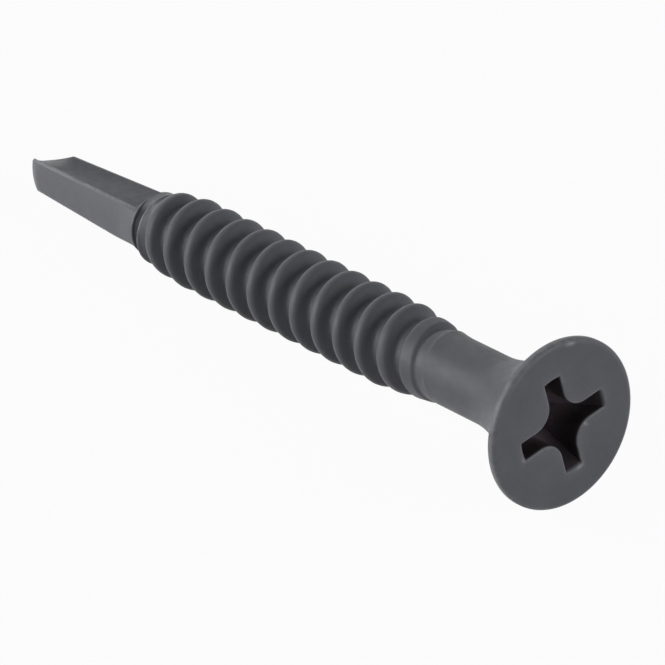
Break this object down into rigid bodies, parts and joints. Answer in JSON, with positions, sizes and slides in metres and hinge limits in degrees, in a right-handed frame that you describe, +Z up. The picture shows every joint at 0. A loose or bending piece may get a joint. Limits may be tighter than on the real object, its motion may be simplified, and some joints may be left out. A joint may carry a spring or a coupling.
{
  "type": "self-drilling panel screw",
  "caption": "Self-drilling screw with a bugle head, cross recess, coarse thread and two-flute drill point, lying at rest.",
  "frame": {"origin": "middle of the bounding box's base, on the surface that the screw lies on", "axes": "+Z up; the screw lies along X with its head at +X and its drill point at -X, its axis falling 4.3 degrees toward the drill point"},
  "size_m": [0.0382, 0.008, 0.008],
  "materials": {
    "coating": "satin dark grey corrosion coating over cold-formed steel"
  },
  "bodies": {
    "root": {"screw": "coating"}
  },
  "joints": []
}
